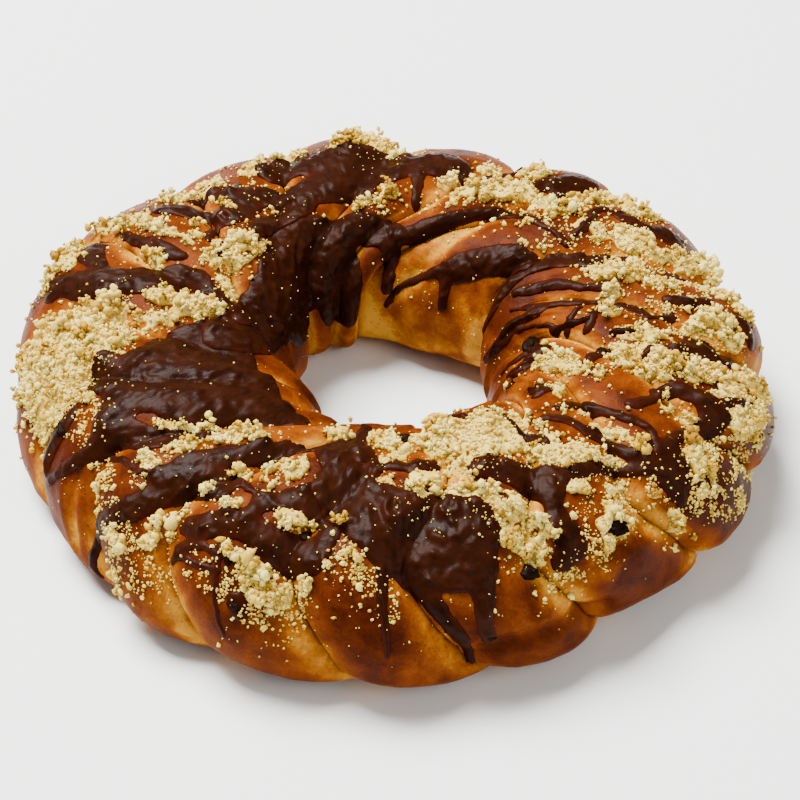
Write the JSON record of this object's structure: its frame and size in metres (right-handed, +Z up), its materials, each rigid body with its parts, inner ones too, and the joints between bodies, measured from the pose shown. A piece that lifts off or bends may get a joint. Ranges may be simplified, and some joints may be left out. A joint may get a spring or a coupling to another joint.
{
  "type": "ring-shaped braided sweet loaf",
  "caption": "Round braided yeast loaf with an open middle, baked golden, with dark glaze, pale streusel and raisins on its crust.",
  "frame": {"origin": "middle of the ring at the table, under the middle of the whole loaf", "axes": "+Z up from the table; the ring lies in the XY plane; -Y is the side nearest the viewer in the usual picture of it"},
  "size_m": [0.3034, 0.2992, 0.0685],
  "materials": {
    "baked_crust": "egg-washed crust, golden to dark brown, satin",
    "chocolate_glaze": "set dark chocolate, satin to semi-gloss",
    "butter_streusel": "dry crumbly butter streusel, matt",
    "raisin": "wrinkled dried fruit, slightly shiny"
  },
  "bodies": {
    "root": {"loaf": "baked_crust", "raisin_front_left": "raisin", "raisin_front": "raisin", "raisin_front_right": "raisin", "raisin_right": "raisin", "raisin_left": "raisin", "streusel_left": "butter_streusel", "streusel_front_left": "butter_streusel", "streusel_front_step": "butter_streusel", "streusel_front_heap": "butter_streusel", "streusel_front_right": "butter_streusel", "streusel_right": "butter_streusel", "streusel_right_back": "butter_streusel", "streusel_back": "butter_streusel", "streusel_left_back": "butter_streusel", "streusel_back_left": "butter_streusel", "glaze_left_pool": "chocolate_glaze", "glaze_left_drip": "chocolate_glaze", "glaze_front_ribbon": "chocolate_glaze", "glaze_front_shelf": "chocolate_glaze", "glaze_front_mass": "chocolate_glaze", "glaze_front_stream": "chocolate_glaze", "glaze_front_pool": "chocolate_glaze", "glaze_front_blob": "chocolate_glaze", "glaze_right_loop": "chocolate_glaze", "glaze_right_crest": "chocolate_glaze", "glaze_right_pool": "chocolate_glaze", "glaze_right_band": "chocolate_glaze", "glaze_right_drip": "chocolate_glaze", "glaze_far_ribbon": "chocolate_glaze", "glaze_far_crest": "chocolate_glaze", "glaze_far_pool": "chocolate_glaze", "glaze_inner_coat": "chocolate_glaze", "glaze_back_pool": "chocolate_glaze", "glaze_back_left": "chocolate_glaze"}
  },
  "joints": []
}
